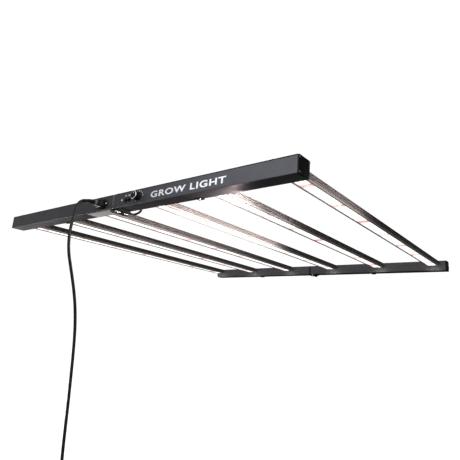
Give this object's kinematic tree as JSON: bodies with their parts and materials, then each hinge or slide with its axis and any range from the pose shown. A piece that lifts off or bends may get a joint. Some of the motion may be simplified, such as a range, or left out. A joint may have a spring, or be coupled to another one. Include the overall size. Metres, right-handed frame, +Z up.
{
  "type": "led grow light",
  "caption": "Hanging LED grow light that folds in half: finned lamp bars between a driver housing with dimmer knob and link sockets and a rear rail, with a mains lead.",
  "frame": {"origin": "middle of the light in plan, level with the housing's top face, under the point where the hangers meet", "axes": "+X along the housing towards the half with the dimmer, +Y from the housing's front face to the rear rail, +Z up"},
  "size_m": [1.107, 1.2074, 0.7525],
  "materials": {
    "charcoal_paint": "satin charcoal powder coat",
    "black_paint": "satin black powder coat",
    "light_alloy": "bare aluminium edge",
    "dark_anodised": "dark anodised extrusion",
    "white_board": "white solder mask with LED chips",
    "black_plastic": "moulded black plastic",
    "zinc": "zinc plated",
    "cord_rubber": "smooth black cable jacket",
    "label": "blank printed film",
    "driver_case": "plain aluminium case",
    "circuit_board": "green solder mask",
    "wiring": "red silicone wire",
    "brass": "turned brass"
  },
  "bodies": {
    "left_half": {"housing_left": "charcoal_paint", "housing_cover_left": "black_paint", "rear_rail_left": "charcoal_paint", "seam_cap_left": "light_alloy", "outer_end_cap_left": "black_paint", "rail_seam_cap_left": "black_paint", "rail_end_cap_left": "black_paint", "bar_heat_sink_3": "dark_anodised", "led_board_3": "white_board", "bar_heat_sink_2": "dark_anodised", "led_board_2": "white_board", "bar_heat_sink_1": "dark_anodised", "led_board_1": "white_board", "hanger_loop_front_left": "black_paint", "hanger_loop_rear_left": "black_paint", "driver_left": "driver_case", "bar_harness_left": "wiring", "front_hinge_leaf_left": "light_alloy", "rear_hinge_leaf_left": "black_paint", "cable_gland_left": "black_plastic", "front_hinge_pin": "zinc", "rear_hinge_pin": "zinc", "mains_inlet": "black_plastic", "inlet_screw_outer": "zinc", "inlet_screw_inner": "zinc", "rating_label": "label", "link_cable": "cord_rubber", "mains_connector": "black_plastic", "mains_cord": "cord_rubber", "mains_cord_coil": "cord_rubber", "cord_tie": "black_plastic", "mains_plug": "black_plastic"},
    "right_half": {"housing_right": "charcoal_paint", "housing_cover_right": "black_paint", "rear_rail_right": "charcoal_paint", "seam_cap_right": "light_alloy", "outer_end_cap_right": "black_paint", "rail_seam_cap_right": "black_paint", "rail_end_cap_right": "black_paint", "bar_heat_sink_4": "dark_anodised", "led_board_4": "white_board", "bar_heat_sink_5": "dark_anodised", "led_board_5": "white_board", "bar_heat_sink_6": "dark_anodised", "led_board_6": "white_board", "hanger_loop_front_right": "black_paint", "hanger_loop_rear_right": "black_paint", "driver_right": "driver_case", "bar_harness_right": "wiring", "front_hinge_leaf_right": "black_paint", "rear_hinge_leaf_right": "black_paint", "cable_gland_right": "black_plastic", "link_jack_in": "black_plastic", "link_jack_out": "black_plastic", "control_board": "circuit_board", "dimmer_potentiometer": "black_plastic", "control_screw": "zinc"},
    "dimmer": {"dimmer_shaft": "brass", "dimmer_knob": "black_plastic"}
  },
  "joints": [
    {"name": "fold", "type": "hinge", "parent": "left_half", "child": "right_half", "pos_m": [0.014, 0, -0.046], "axis": [0, 1, 0], "range_deg": [0, 180]},
    {"name": "dimmer_turn", "type": "hinge", "parent": "right_half", "child": "dimmer", "pos_m": [0.102, -0.553, -0.0195], "axis": [0, -1, 0], "range_deg": [-135, 135]}
  ]
}
